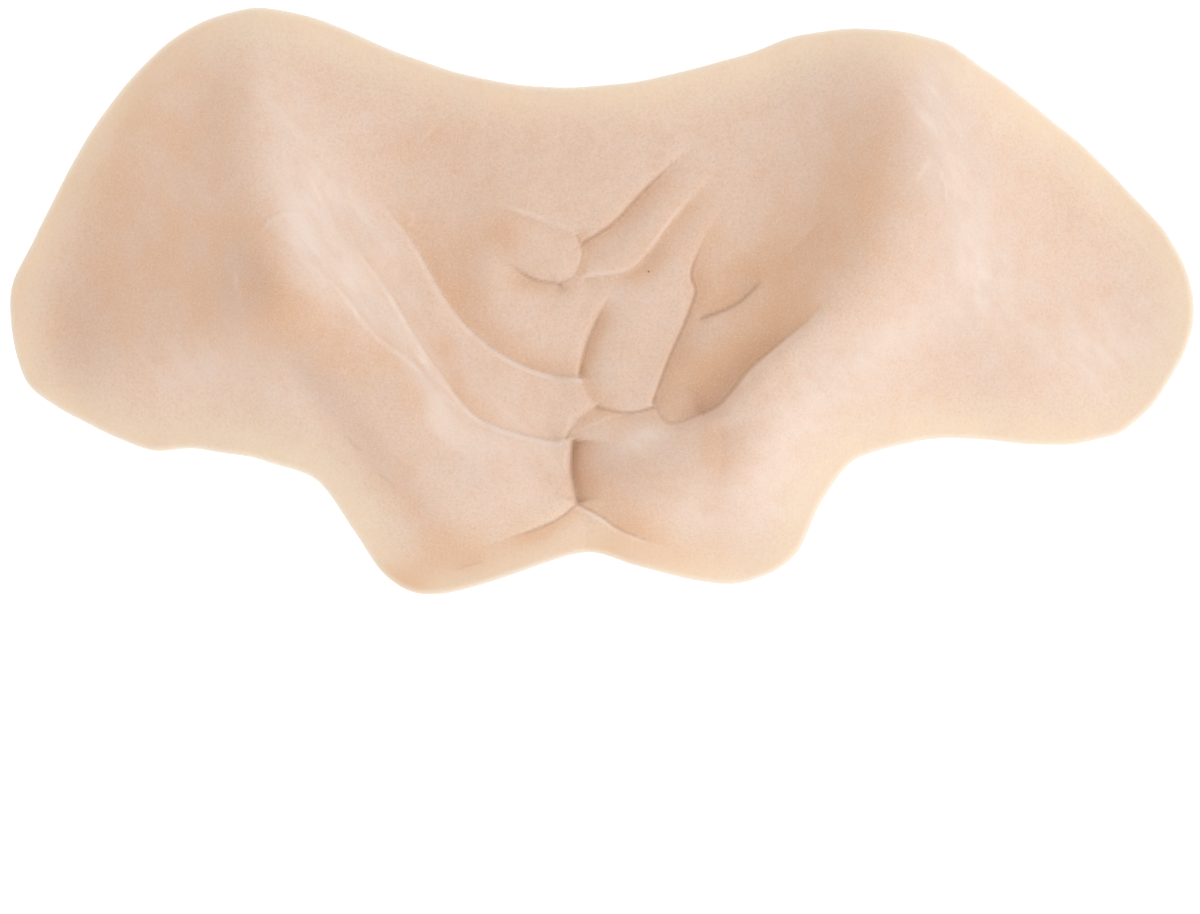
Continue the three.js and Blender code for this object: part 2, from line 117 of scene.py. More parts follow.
# Brow ridges. Rows: across, up, rise, outer flank, inner flank
RIGHT_BROW = [
    (-0.67, 1.03, 0.29, 0.7, 0.5),
    (-0.645, 0.88, 0.45, 0.6, 0.46),
    (-0.62, 0.7, 0.58, 0.54, 0.43),
    (-0.595, 0.48, 0.66, 0.46, 0.5),
    (-0.575, 0.225, 0.75, 0.39, 0.5),
    (-0.545, 0, 0.75, 0.36, 0.5),
    (-0.475, -0.17, 0.68, 0.43, 0.46),
    (-0.38, -0.36, 0.64, 0.5, 0.39),
    (-0.265, -0.53, 0.57, 0.46, 0.36),
    (-0.15, -0.69, 0.47, 0.43, 0.29),
    (-0.045, -0.79, 0.34, 0.43, 0.25),
]
LEFT_BROW = [
    (0.47, 1.065, 0.32, 0.57, 0.4),
    (0.495, 0.91, 0.54, 0.54, 0.4),
    (0.515, 0.72, 0.79, 0.54, 0.43),
    (0.52, 0.48, 0.89, 0.5, 0.46),
    (0.5, 0.225, 0.96, 0.54, 0.46),
    (0.43, 0, 0.93, 0.6, 0.4),
    (0.345, -0.17, 0.84, 0.57, 0.32),
    (0.265, -0.36, 0.7, 0.54, 0.32),
    (0.19, -0.53, 0.6, 0.5, 0.36),
    (0.08, -0.69, 0.46, 0.43, 0.46),
    (-0.02, -0.79, 0.3, 0.39, 0.46),
]

# Mounds. Rows: across, up, half length, half width, turn in degrees, rise
SWELLINGS = [
    (-0.78, -0.2, 0.17, 0.125, 0, 1.3),
    (-0.535, 0.035, 0.101, 0.068, -30, 0.6),
    (0.74, -0.2, 0.18, 0.11, -10, 0.8),
    (-0.34, 0.38, 0.186, 0.152, 0, -1),
    (0.267, -0.69, 0.101, 0.101, 0, 0.4),
    (-0.3, -0.37, 0.1, 0.06, -30, 0.5),
]
PADS = [
    (-0.165, -0.585, 0.118, 0.076, -5, 0.8),
    (0.12, -0.6, 0.118, 0.081, 0, 0.6),
    (-0.105, 0.19, 0.081, 0.041, -25, 0.65),
    (0.073, 0.258, 0.135, 0.034, 50, 0.35),
    (0.064, -0.086, 0.203, 0.057, 62, 0.6),
    (0.2, -0.155, 0.144, 0.044, 47, 0.6),
    (-0.12, -0.086, 0.111, 0.071, -20, 0.45),
    (-0.17, -0.258, 0.169, 0.041, -38, 0.6),
    (-0.36, 0, 0.22, 0.044, -52, 0.5),
]

# Folds. Rows: name, path, depth, side on the left, side on the right, step up to the left,
# share of the length over which it starts, share over which it ends, painted shade of the dark line, talc and
# painted highlight on the lip
FOLDS = [
    ("centre cleft", [(-0.047, -0.467), (-0.05, -0.58), (-0.039, -0.694)],
     1.3, 1.2, 0.25, -0.6, 0.05, 0.05, 1, 0.2),
    ("bridge, right side",
     [(-0.041, -0.69), (-0.073, -0.742), (-0.12, -0.784), (-0.164, -0.811), (-0.257, -0.88)],
     0.55, 0.8, 0.35, -0.7, 0, 0.6, 0.8, 0.2),
    ("bridge, left side",
     [(-0.041, -0.69), (0, -0.735), (0.03, -0.777), (0.09, -0.825), (0.149, -0.856)],
     0.65, 1.3, 0.3, -0.6, 0, 0.6, 0.7, 0.6),
    ("outer furrow",
     [(-0.463, 0.447), (-0.41, 0.19), (-0.36, 0.05), (-0.3125, -0.117), (-0.265, -0.258),
      (-0.2145, -0.385), (-0.164, -0.436), (-0.091, -0.474), (-0.061, -0.471)],
     0.5, 1.1, 0.3, -0.8, 0.3, 0, 0.3, 0.9),
    ("inner furrow",
     [(-0.443, 0.488), (-0.33, 0.24), (-0.265, 0.017), (-0.215, -0.107), (-0.149, -0.203),
      (-0.085, -0.25), (-0.037, -0.261)],
     0.55, 1.4, 0.3, -0.8, 0.3, 0, 0.35, 0.9),
    ("brow furrow",
     [(-0.51, 0.17), (-0.441, 0.0515), (-0.383, -0.1), (-0.328, -0.189), (-0.297, -0.251),
      (-0.274, -0.344)],
     0.25, 0.8, 0.4, -0.5, 0.4, 0.3, 0, 0.8),
    ("frown line", [(0.024, 0.065), (-0.02, -0.124), (-0.037, -0.247)],
     0.8, 0.8, 0.25, -0.6, 0.4, 0, 1, 0.1),
    ("frown foot", [(-0.037, -0.247), (-0.027, -0.309), (-0.01, -0.361)],
     0.5, 1.2, 0.3, -0.3, 0, 0, 0.2, 0.1),
    ("knot", [(-0.01, -0.361), (-0.044, -0.412), (-0.061, -0.471)],
     0.6, 0.9, 0.35, -0.4, 0, 0, 0.4, 0.1),
    ("pad foot", [(-0.01, -0.361), (0.044, -0.381), (0.091, -0.361)],
     0.45, 0.4, 0.8, 0.3, 0, 0, 0.8, 0.2),
    ("left furrow",
     [(0.225, 0.426), (0.162, 0.165), (0.15, 0.086), (0.157, 0.03), (0.14, -0.07), (0.111, -0.206),
      (0.086, -0.344)],
     0.5, 1.2, 0.3, -0.8, 0.3, 0, 0.9, 0.5),
    ("hook", [(0.086, -0.344), (0.111, -0.416), (0.167, -0.385)],
     0.45, 0.8, 0.35, -0.5, 0, 0, 0.6, 0.2),
    ("deep furrow",
     [(0.167, -0.385), (0.2, -0.345), (0.247, -0.23), (0.2925, -0.151), (0.35, -0.055),
      (0.389, 0.03)],
     1.4, 2, 0.35, -1.1, 0, 0.5, 1, 0.15),
    ("side wrinkle", [(0.155, -0.069), (0.226, -0.01), (0.28, 0.096)],
     0.45, 1.4, 0.3, -0.5, 0.1, 0.3, 0.9, 0),
    ("upper furrow", [(-0.032, 0.196), (0.022, 0.268), (0.079, 0.392), (0.174, 0.57)],
     0.6, 0.25, 1.3, 0.5, 0, 0.4, 1, 0.1),
    ("middle furrow", [(-0.024, 0.076), (0.054, 0.113), (0.127, 0.292), (0.209, 0.481)],
     0.45, 0.35, 1.1, 0.7, 0, 0.4, 0.25, 0.6),
    ("thumb top", [(-0.209, 0.344), (-0.132, 0.292), (-0.042, 0.223)],
     0.2, 0.9, 0.4, 0.5, 0.5, 0, 0, 0.6),
    ("thumb end", [(-0.042, 0.223), (-0.032, 0.165), (-0.044, 0.089), (-0.071, 0.058)],
     0.5, 0.8, 0.3, -0.7, 0, 0, 0.6, 0.3),
    ("thumb foot", [(-0.071, 0.058), (-0.12, 0.08), (-0.179, 0.165)],
     0.6, 1.1, 0.35, -0.9, 0, 0.5, 0.7, 0.4),
    ("thumb tie", [(-0.071, 0.058), (-0.02, 0.076)],
     0.2, 0.5, 0.4, 0.2, 0, 0, 0.3, 0.4),
]

# Fine creases that only the surface shows, with the same columns
CREASES = [
    ("curl", [(-0.571, 0.213), (-0.566, 0.254), (-0.534, 0.299), (-0.49, 0.299)],
     0.1, 0.4, 0.3, -0.3, 0.3, 0.3, 0, 0.5),
    ("knot line", [(-0.047, -0.46), (0.007, -0.412), (0.054, -0.385)],
     0.2, 0.4, 0.4, 0.1, 0, 0.1, 0.3, 0.3),
    ("twin furrow", [(-0.328, -0.124), (-0.297, -0.196), (-0.265, -0.268), (-0.24, -0.34)],
     0.15, 0.4, 0.3, -0.3, 0.4, 0.4, 0, 0.9),
    ("temple seam", [(-0.61, 0.15), (-0.615, 0.06), (-0.6, -0.06)],
     0.1, 0.5, 0.5, 0.2, 0.4, 0.4, 0, 0.4),
    ("crest crease", [(-0.53, 0.62), (-0.535, 0.48), (-0.515, 0.33)],
     0.05, 0.4, 0.4, 0.2, 0.4, 0.4, 0, 0.5),
    ("crest line", [(-0.465, 0.43), (-0.46, 0.35), (-0.434, 0.289)],
     0.05, 0.4, 0.4, 0.2, 0.4, 0.4, 0, 0.6),
    ("upper crease", [(-0.5, 0.5), (-0.47, 0.36), (-0.43, 0.2)],
     0.08, 0.4, 0.4, -0.3, 0.4, 0.3, 0, 0.6),
    ("fork crease", [(-0.327, 0.33), (-0.312, 0.29), (-0.32, 0.24)],
     0.1, 0.4, 0.3, -0.2, 0.3, 0.2, 0, 0.5),
    ("socket furrow", [(-0.5, -0.2), (-0.4, -0.49), (-0.29, -0.73), (-0.22, -0.84)],
     0.3, 2.2, 1.8, 0, 0.4, 0.3, 0, 0),
    ("brow foot", [(0.19, -0.4), (0.2, -0.5), (0.19, -0.66)],
     0.45, 2, 1.2, 0, 0.3, 0.4, 0, 0),
    ("cheek crease", [(0.292, 0.12), (0.34, 0.22), (0.385, 0.309)],
     0.12, 0.5, 0.5, 0.2, 0.4, 0.4, 0.2, 0.3),
    ("brow crease", [(0.519, 0.371), (0.541, 0.44), (0.561, 0.498)],
     0.06, 0.4, 0.4, 0.3, 0.4, 0.4, 0, 0.6),
    ("lobe crease", [(0.55, 0.5), (0.566, 0.4), (0.57, 0.3)],
     0.05, 0.4, 0.4, 0.2, 0.4, 0.4, 0, 0.6),
    ("tip crease", [(0.868, 0.29), (0.915, 0.18), (0.935, 0.07)],
     0.12, 0.7, 0.4, 0.3, 0.4, 0.4, 0, 0.5),
    ("tip line", [(0.885, -0.02), (0.925, -0.01), (0.955, 0.02)],
     0.08, 0.4, 0.4, 0.2, 0.4, 0.4, 0, 0.4),
    ("socket crease", [(-0.43, -0.44), (-0.416, -0.49), (-0.39, -0.52)],
     0.12, 0.4, 0.3, -0.3, 0.3, 0.3, 0.5, 0),
    ("socket line", [(-0.385, -0.57), (-0.36, -0.61), (-0.335, -0.66)],
     0.12, 0.4, 0.3, -0.3, 0.3, 0.3, 0.4, 0),
    ("eye fold", [(-0.26, -0.93), (-0.22, -0.9), (-0.18, -0.885)],
     0.15, 0.5, 0.3, -0.3, 0.3, 0.4, 0.4, 0),
    ("hair crease", [(-0.302, 0.529), (-0.286, 0.57), (-0.27, 0.619)],
     0.06, 0.4, 0.4, 0.2, 0.4, 0.4, 0, 0.4),
]

# Shape of a brow's bells, as shares of its reach
BELL_LENGTH = 0.21
BELL_SHARPNESS = 4
BELL_LEVEL = 0.86
FLANK_BLEND = 0.14
BROW_JOINT = 0.35  # how much of the lower brow is added where the two meet
PAD_LIMIT = 1.25  # share of its half size at which a mound ends

# Shape of a fold's sides, as shares of its width
FOLD_ROUNDING = 0.03
CREASE_SHARE = 0.4  # how much of the depth is sharp crease, the rest being rounded
CREASE_WIDTH = 0.25
STEP_REACH = 1.2
STEP_BLEND = 0.12
STEP_STOP = 0.2
FOLD_LIMIT = 3
FOLD_JOIN = 3  # power that joins folds where they meet
CREASE_SHADE_HALF_WIDTH = 0.32  # half width of the painted dark shade line in a fold, in millimetres
LIP_PLACE = 0.4  # how far from the line the talc and painted highlight lie, in millimetres
FOLD_SHADE_WARMTH = 1.3  # how much painted warm shade a fold of full depth gets on its low side

# Tints of the rubber, the warm and mauve ones partly painted shade. Rows: across, up, half length, half width,
# turn in degrees, then how much of each tint that is named here
TINT_NAMES = ("warmth_and_shade", "mauve_and_shade", "powder")
TINTS = [
    (-0.61, 0.07, 0.07, 0.1, 0, 1.35, 0.6, 0),
    (-0.49, -0.12, 0.13, 0.05, -38, 0.7, 0, 0),
    (-0.31, -0.34, 0.13, 0.05, -45, 0.3, 0, 0),
    (-0.74, 0.2, 0.15, 0.22, 0, 0.75, 0.25, 0),
    (-0.88, -0.1, 0.08, 0.12, 0, 0.3, 0.55, 0),
    (-0.67, -0.22, 0.1, 0.06, 0, 0.1, 0, 0.6),
    (-0.65, 0.5, 0.08, 0.2, -10, 0.1, 0.3, 0),
    (-0.2, 0.27, 0.06, 0.08, 10, 0.4, 0.4, 0),
    (-0.1, 0.17, 0.07, 0.04, -25, 0.35, 0, 0.15),
    (-0.29, 0.56, 0.1, 0.1, 0, 0.3, 0, 0),
    (-0.37, -0.54, 0.19, 0.035, -50, 0.3, 0.65, 0),
    (-0.48, -0.26, 0.1, 0.04, -40, 0.1, 0.4, 0),
    (-0.24, -0.87, 0.14, 0.05, 15, 0.75, 0, 0),
    (-0.16, -0.6, 0.1, 0.08, 0, 0.1, 0, 0.35),
    (0.03, -0.62, 0.07, 0.12, 0, 0.5, 0.4, 0),
    (0.28, -0.14, 0.2, 0.05, 47, 0.2, 0, 0),
    (0.32, 0.14, 0.1, 0.07, 50, 0.9, 0.1, 0),
    (0.43, 0.4, 0.1, 0.2, -20, 0.9, 0.3, 0),
    (0.18, 0.25, 0.05, 0.12, -10, 0.4, 0, 0),
    (0.37, 0.72, 0.1, 0.08, 20, 0.1, 0.1, 0.3),
    (0.2, -0.44, 0.1, 0.05, 30, 0, 0.5, 0),
    (0.8, 0.25, 0.12, 0.14, -40, 0.1, 0, 0),
    (-0.51, 0.45, 0.06, 0.22, 15, 0, 0, 0.65),
    (-0.42, 0.35, 0.09, 0.03, -50, 0, 0, 0.45),
    (-0.47, 0.16, 0.1, 0.06, -45, 0, 0, 0.5),
    (-0.37, -0.07, 0.16, 0.035, -52, 0, 0, 0.6),
    (-0.26, -0.42, 0.04, 0.07, 10, 0, 0, 0.4),
    (-0.14, -0.47, 0.1, 0.04, -8, 0, 0, 0.4),
    (-0.2, -0.3, 0.12, 0.03, -38, 0, 0, 0.4),
    (0.05, -0.47, 0.07, 0.04, 0, 0, 0.2, 0.4),
    (0.04, 0, 0.06, 0.1, 60, 0, 0.3, 0.3),
    (0.07, 0.3, 0.1, 0.03, 50, 0, 0.4, 0.2),
    (0.55, 0.66, 0.05, 0.1, 0, 0, 0.5, 0.65),
    (0.6, 0.42, 0.06, 0.14, 10, 0, 0.4, 0.5),
    (0.64, 0.05, 0.06, 0.12, 15, 0, 0.3, 0.5),
    (0.48, -0.15, 0.14, 0.06, 40, 0, 0, 0.6),
    (0.33, -0.4, 0.14, 0.06, 60, 0, 0, 0.5),
    (0.27, -0.68, 0.1, 0.08, 20, 0, 0, 0.4),
    (0.81, -0.2, 0.08, 0.08, 0, 0, 0, 0.6),
    (0.93, -0.1, 0.08, 0.14, 0, 0, 0, 0.5),
    (0.75, 0.02, 0.12, 0.16, 0, 0, 0, 0.2),
    (-0.565, 0.07, 0.03, 0.06, 0, 0.6, 0, 0),
    (-0.79, 0.6, 0.03, 0.14, -25, 0.4, 0, 0),
    (-0.34, -0.97, 0.06, 0.03, -20, 0.6, 0, 0),
    (-0.99, 0.1, 0.02, 0.12, 0, 0.3, 0, 0),
    (-0.45, 0.15, 0.03, 0.02, -45, 0.4, 0, 0),
    (-0.475, -0.03, 0.07, 0.025, -25, 0.5, 0, 0),
    (-0.36, -0.17, 0.05, 0.02, -45, 0.5, 0, 0),
    (-0.265, -0.165, 0.03, 0.035, 0, 0.6, 0, 0),
    (-0.247, -0.28, 0.02, 0.03, 0, 0.6, 0, 0),
    (-0.31, -0.36, 0.03, 0.04, 0, 0.4, 0, 0),
    (-0.215, 0.03, 0.035, 0.08, 20, 0.5, 0.3, 0),
    (-0.31, 0.3, 0.04, 0.06, 20, 0.3, 0, 0),
    (-0.17, 0.22, 0.03, 0.03, -15, 0.5, 0, 0),
    (0.02, -0.56, 0.05, 0.04, 0, 0, 0.3, 0),
    (0.14, -0.22, 0.05, 0.07, 20, 0.5, 0.1, 0),
    (-0.07, 0.52, 0.22, 0.12, 0, 0.35, 0.3, 0),
    (-0.68, 0.69, 0.1, 0.14, 0, 0.5, 0, 0),
    (-0.86, 0.02, 0.12, 0.2, 0, 0.2, 0, 0),
    (0.08, -0.86, 0.16, 0.05, 0, 0.6, 0, 0),
    (0.6, 0, 0.14, 0.3, 0, 0, 0.45, 0),
    (0.25, -0.75, 0.1, 0.1, 0, 0, 0.3, 0),
    (-0.22, 0.12, 0.04, 0.06, 0, 0.6, 0.2, 0),
    (0.19, -0.5, 0.03, 0.1, 10, 0.5, 0.3, 0),
    (0.1, -0.62, 0.07, 0.08, 0, 0.25, 0, 0),
    (0.23, 0.08, 0.06, 0.03, 50, 0.6, 0, 0),
    (0.085, 0.15, 0.05, 0.025, 50, 0.9, 0.3, 0),
    (0.125, -0.34, 0.018, 0.035, 0, 0.8, 0.3, 0),
    (-0.275, -0.35, 0.02, 0.05, 0, 0, 0, 0.35),
    (-0.34, 0.08, 0.03, 0.12, 25, 0, 0, 0.5),
    (0.15, -0.72, 0.05, 0.05, 0, 0, 0, 0.4),
    (0.07, -0.47, 0.04, 0.02, 30, 0, 0, 0.5),
]

# Dry powder lies in streaks along the brows: the turn of the streaks, and how much longer than wide
STREAK_TURN = math.radians(-52)
STREAK_SIZE = (3.0, 0.7, 1.0)

# Colours of the rubber
SKIN = (0.725, 0.534, 0.415)
LIGHT_SKIN = (0.745, 0.56, 0.448)
ROSY = (0.70, 0.468, 0.332)
CHALKY = (0.71, 0.57, 0.49)
RUDDY = (0.69, 0.455, 0.31)
SALLOW = (0.74, 0.59, 0.48)
STRAW = (0.80, 0.642, 0.475)
# ORANGE and RUSSET paint warm shade on the low sides of the folds and in hollows, besides warm patches of the
# rubber; MAUVE is partly painted shade too
ORANGE = (0.70, 0.425, 0.258)
RUSSET = (0.55, 0.30, 0.165)
MAUVE = (0.58, 0.43, 0.355)
DARK_GRAIN = (0.56, 0.36, 0.25)
POWDER = (0.785, 0.66, 0.58)
# talc with a painted highlight on the fold lips
TALC_AND_HIGHLIGHT = (0.82, 0.69, 0.61)
# painted shade at the bottom of each fold
PAINTED_CREASE_SHADE = (0.46, 0.27, 0.17)
# pale rim: thin rubber, with painted light shining through the thin edge
BACKLIT_THIN_RIM = (0.77, 0.712, 0.63)
PALE_GRAIN = (0.84, 0.70, 0.60)
SPECK = (0.25, 0.16, 0.12)


def smooth(t):
    """Smooth step: 3 t squared less 2 t cubed, held between 0 and 1."""
    c = np.clip(t, 0, 1)
    return c * c * (3 - 2 * c)


def edge_height(rows, turn):
    """Smooth cubic through a table's heights, over the angle at which a round-ended span reaches them."""
    across, up = np.array(rows, float).T
    t = np.arccos(np.clip(-across, -1, 1)) / math.pi
    slope = np.empty_like(up)
    slope[1:-1] = (up[2:] - up[:-2]) / (t[2:] - t[:-2])
    slope[0] = (up[1] - up[0]) / (t[1] - t[0])
    slope[-1] = (up[-1] - up[-2]) / (t[-1] - t[-2])
    i = np.clip(np.searchsorted(t, turn) - 1, 0, len(t) - 2)
    h = t[i + 1] - t[i]
    f = (turn - t[i]) / h
    g = 1 - f
    values = (1 + 2 * f) * g * g * up[i] + f * f * (3 - 2 * f) * up[i + 1]
    return values + f * g * g * h * slope[i] - f * f * g * h * slope[i + 1]


def outline_edges():
    """The two edges as functions of the angle, stretched to the drop, and the outline as points."""
    turns = np.linspace(0, 1, OUTLINE_STEPS + 1)
    high = edge_height(HAIRLINE, turns).max()
    low = edge_height(BROWLINE, turns).min()

    def at(rows, turn):
        smooth_edge = (edge_height(rows, turn) - (high + low) / 2) * DROP / (high - low)
        inland = smooth(np.minimum(turn, 1 - turn) / TIP_SHARE)
        pattern = BROWLINE_WAVES if rows is BROWLINE else HAIRLINE_WAVES
        return smooth_edge + EDGE_WAVER * inland * waves(SPAN * turn, 0 * turn, *pattern)

    across = -np.cos(math.pi * turns) * SPAN / 2
    lower = np.stack([across, at(BROWLINE, turns)], 1)
    upper = np.stack([across, at(HAIRLINE, turns)], 1)[-2:0:-1]
    ring = np.vstack([lower, upper])
    return at, np.vstack([ring, ring[:1]])


def nearest(x, y, line):
    """Distance to a line of points, the side (left of the way along is above 0) and the share passed."""
    best = np.full(x.shape, np.inf)
    side = np.zeros(x.shape)
    share = np.zeros(x.shape)
    for k in range(len(line) - 1):
        (ax, ay), (bx, by) = line[k], line[k + 1]
        dx, dy = bx - ax, by - ay
        f = np.clip(((x - ax) * dx + (y - ay) * dy) / (dx * dx + dy * dy), 0, 1)
        distance = np.hypot(x - ax - f * dx, y - ay - f * dy)
        nearer = distance < best
        best = np.where(nearer, distance, best)
        side = np.where(nearer, np.sign(dx * (y - ay) - dy * (x - ax)), side)
        share = np.where(nearer, (k + f) / (len(line) - 1), share)
    return best, side, share


def curve_points(path, steps):
    """A uniform Catmull-Rom curve through the points, with mirrored ends, in millimetres."""
    points = np.array([p[:2] for p in path], float) * (SPAN / 2, DROP / 2)
    full = np.vstack([2 * points[0] - points[1], points, 2 * points[-1] - points[-2]])
    s = np.linspace(0, 1, steps + 1) * (len(points) - 1)
    i = np.minimum(s.astype(int), len(points) - 2)
    f = (s - i)[:, None]
    a, b, c, d = (full[i + k] for k in range(4))
    bend = 2 * a - 5 * b + 4 * c - d
    twist = 3 * b - a - 3 * c + d
    return 0.5 * (2 * b + (c - a) * f + bend * f**2 + twist * f**3)


def crest_rise(rows, outward, x, y):
    """A brow ridge: bells along the crest, each with its own rise and two flanks, joined by a power."""
    points = curve_points(rows, CREST_STEPS)
    way = np.gradient(points, axis=0)
    way /= np.linalg.norm(way, axis=1, keepdims=True)
    stations = np.linspace(0, CREST_STEPS, len(rows))
    columns = np.array(rows, float)[:, 2:].T
    rise, outer, inner = (np.interp(np.arange(CREST_STEPS + 1), stations, c) for c in columns)
    total = np.zeros(x.shape)
    for k in range(CREST_STEPS + 1):
        dx, dy = x - points[k, 0], y - points[k, 1]
        along = dx * way[k, 0] + dy * way[k, 1]
        out = outward * (dy * way[k, 0] - dx * way[k, 1])
        turn = np.tanh(out / (FLANK_BLEND * BROW_REACH))
        flank = ((outer[k] + inner[k]) / 2 + (outer[k] - inner[k]) / 2 * turn) * BROW_REACH
        fall = (along / (BELL_LENGTH * BROW_REACH)) ** 2 + (out / flank) ** 2
        total += (rise[k] * BROW_RISE * np.exp(-fall)) ** BELL_SHARPNESS
    return BELL_LEVEL * total ** (1 / BELL_SHARPNESS)


def on_ellipse(x, y, across, up, long, wide, degrees):
    """Distance from the middle of a turned ellipse, as a share of its half sizes."""
    turn = math.radians(degrees)
    dx, dy = x - across * SPAN / 2, y - up * DROP / 2
    u = (dx * math.cos(turn) + dy * math.sin(turn)) / (long * SPAN / 2)
    v = (dy * math.cos(turn) - dx * math.sin(turn)) / (wide * SPAN / 2)
    return np.hypot(u, v)


def mound(row, x, y, full_rise):
    """A rounded mound: one less a smooth step of the distance on a turned ellipse."""
    return row[5] * full_rise * (1 - smooth(on_ellipse(x, y, *row[:5]) / PAD_LIMIT))


def past(x, y, end, inner):
    """How far a point lies past an end of a line."""
    way = (end - inner) / np.linalg.norm(end - inner)
    return np.maximum(0, (x - end[0]) * way[0] + (y - end[1]) * way[1])


def fold_rise(row, x, y):
    """The depth of a valley over the distance to a path, a sharp exponential crease inside a rounded bell.
    Then its step from side to side, and the shares of the painted crease shade, of talc with a painted
    highlight on the lip, and of painted warm shade on the low side."""
    _, path, depth, left, right, step, start, end, crease_shade_strength, talc_and_highlight = row
    line = curve_points(path, FOLD_STEPS)
    reach = 2 * FOLD_LIMIT * FOLD_WIDTH * max(left, right)
    low, high = line.min(0) - reach, line.max(0) + reach
    near = (x > low[0]) & (x < high[0]) & (y > low[1]) & (y < high[1])
    px, py = x[near], y[near]
    distance, side, share = nearest(px, py, line)
    width = np.where(side > 0, left, right) * FOLD_WIDTH
    over = np.maximum(past(px, py, line[0], line[1]), past(px, py, line[-1], line[-2]))
    rounded = np.hypot(distance, FOLD_ROUNDING * FOLD_WIDTH) / width
    sharp = CREASE_SHARE * np.exp(-rounded / CREASE_WIDTH)
    crease = sharp + (1 - CREASE_SHARE) * np.exp(-rounded * rounded)
    valley = depth * FOLD_DEPTH * crease * np.exp(-((over / width) ** 2))
    across = side * np.tanh(distance / (STEP_BLEND * FOLD_WIDTH))
    stop = np.exp(-distance / (STEP_REACH * FOLD_WIDTH) - over / (STEP_STOP * FOLD_WIDTH))
    fade = (smooth(share / start) if start else 1) * (smooth((1 - share) / end) if end else 1)
    beyond = np.maximum(0, distance / width - FOLD_LIMIT)
    # painted dark shade along the crease
    crease_shade_share = crease_shade_strength * np.exp(-((distance / CREASE_SHADE_HALF_WIDTH) ** 2))
    # talc and painted highlight on the raised side of the fold
    lip_talc_and_highlight = np.where(side * step > 0, talc_and_highlight, 0) * np.exp(-((distance / LIP_PLACE - 1) ** 2))
    # painted warm shade on the low side of the fold
    fold_shade_share = np.where(side * step > 0, 0, FOLD_SHADE_WARMTH * depth) * np.exp(-((distance / width) ** 2))
    lift = np.stack([valley, step * LIP_RISE * across * stop / 2]) * np.exp(-beyond * beyond)
    out = np.zeros((5, *x.shape))
    out[:2, near] = lift * fade
    out[2:, near] = np.stack([crease_shade_share, lip_talc_and_highlight, fold_shade_share]) * fade * np.exp(-over)
    return out


def all_folds(x, y):
    """The folds together: valleys joined by a power, so that they don't add up where they meet, less the
    sum of the steps, and the strongest painted crease shade, talc with painted highlight, and painted warm
    shade."""
    total = np.zeros((5, *x.shape))
    for row in FOLDS + CREASES:
        valley, step, *shares = fold_rise(row, x, y)
        total[0] += valley**FOLD_JOIN
        total[1] += step
        total[2:] = np.maximum(total[2:], shares)
    return total[1] - total[0] ** (1 / FOLD_JOIN), *total[2:]


def waves(x, y, length, seed):
    """Gentle unevenness: a sum of plane waves with seeded ways and phases, about one wide."""
    rng = np.random.default_rng(seed)
    way = rng.uniform(0, 2 * math.pi, WAVE_COUNT)
    pitch = length * rng.uniform(*WAVE_SPREAD, WAVE_COUNT)
    phase = rng.uniform(0, 2 * math.pi, WAVE_COUNT)
    total = np.zeros(np.shape(x))
    for k in range(WAVE_COUNT):
        along = x * math.cos(way[k]) + y * math.sin(way[k])
        total += np.sin(2 * math.pi * along / pitch[k] + phase[k])
    return total / math.sqrt(WAVE_COUNT / 2)


def brow_form(x, y):
    """Both brow ridges and the broad swellings."""
    right = crest_rise(RIGHT_BROW, -1, x, y)
    left = crest_rise(LEFT_BROW, 1, x, y)
    ridges = np.maximum(right, left) + BROW_JOINT * np.minimum(right, left)
    return ridges + sum(mound(row, x, y, SWELL_RISE) for row in SWELLINGS)


def hollow_face(x, y, brow):
    """The skin side: a flat-topped arch that falls to the hairline and the eyes and lands softly."""
    across = np.clip(np.abs(2 * x / SPAN), 0, 1)
    up = 2 * y / DROP
    arch = (1 - across**MIDDLE_FLATNESS) ** TEMPLE_SOFTNESS
    bridge = BRIDGE_SHARE + (1 - BRIDGE_SHARE) * smooth(across / BRIDGE_HALF_WIDTH)
    eyes = EYE_FALL * bridge * smooth((-EYE_FALL_START - up) / EYE_FALL_LENGTH)
    fall = (1 - HAIRLINE_FALL * smooth(up)) * (1 - eyes)
    z = (HOLLOW_RISE + TEMPLE_LAP) * arch * fall - TEMPLE_LAP + BROW_IN_HOLLOW * brow
    landing = np.where(z < -LANDING, 0, (z + LANDING) ** 2 / (4 * LANDING))
    return np.where(z > LANDING, z, landing)


def outer_face(x, y, inner, brow, folds, distance):
    """Skin side plus the wall, the ridges' own thickness, pads and folds, rounded down at the edge."""
    wall = EDGE_WALL + (BODY_WALL - EDGE_WALL) * smooth(distance / EDGE_TAPER)
    raised = (1 - BROW_IN_HOLLOW) * brow
    raised += sum(mound(row, x, y, PAD_RISE) for row in PADS)
    raised += folds
    raised += HAND_UNEVENNESS * (waves(x, y, *BROAD_WAVES) + FINE_WAVE_SHARE * waves(x, y, *FINE_WAVES))
    thick = np.maximum(EDGE_WALL, wall + raised * smooth(distance / RELIEF_FADE))
    rim = np.sqrt(1 - (1 - np.clip(distance / EDGE_ROUND, 0, 1)) ** 2)
    return inner + EDGE_LIP + (thick - EDGE_LIP) * rim


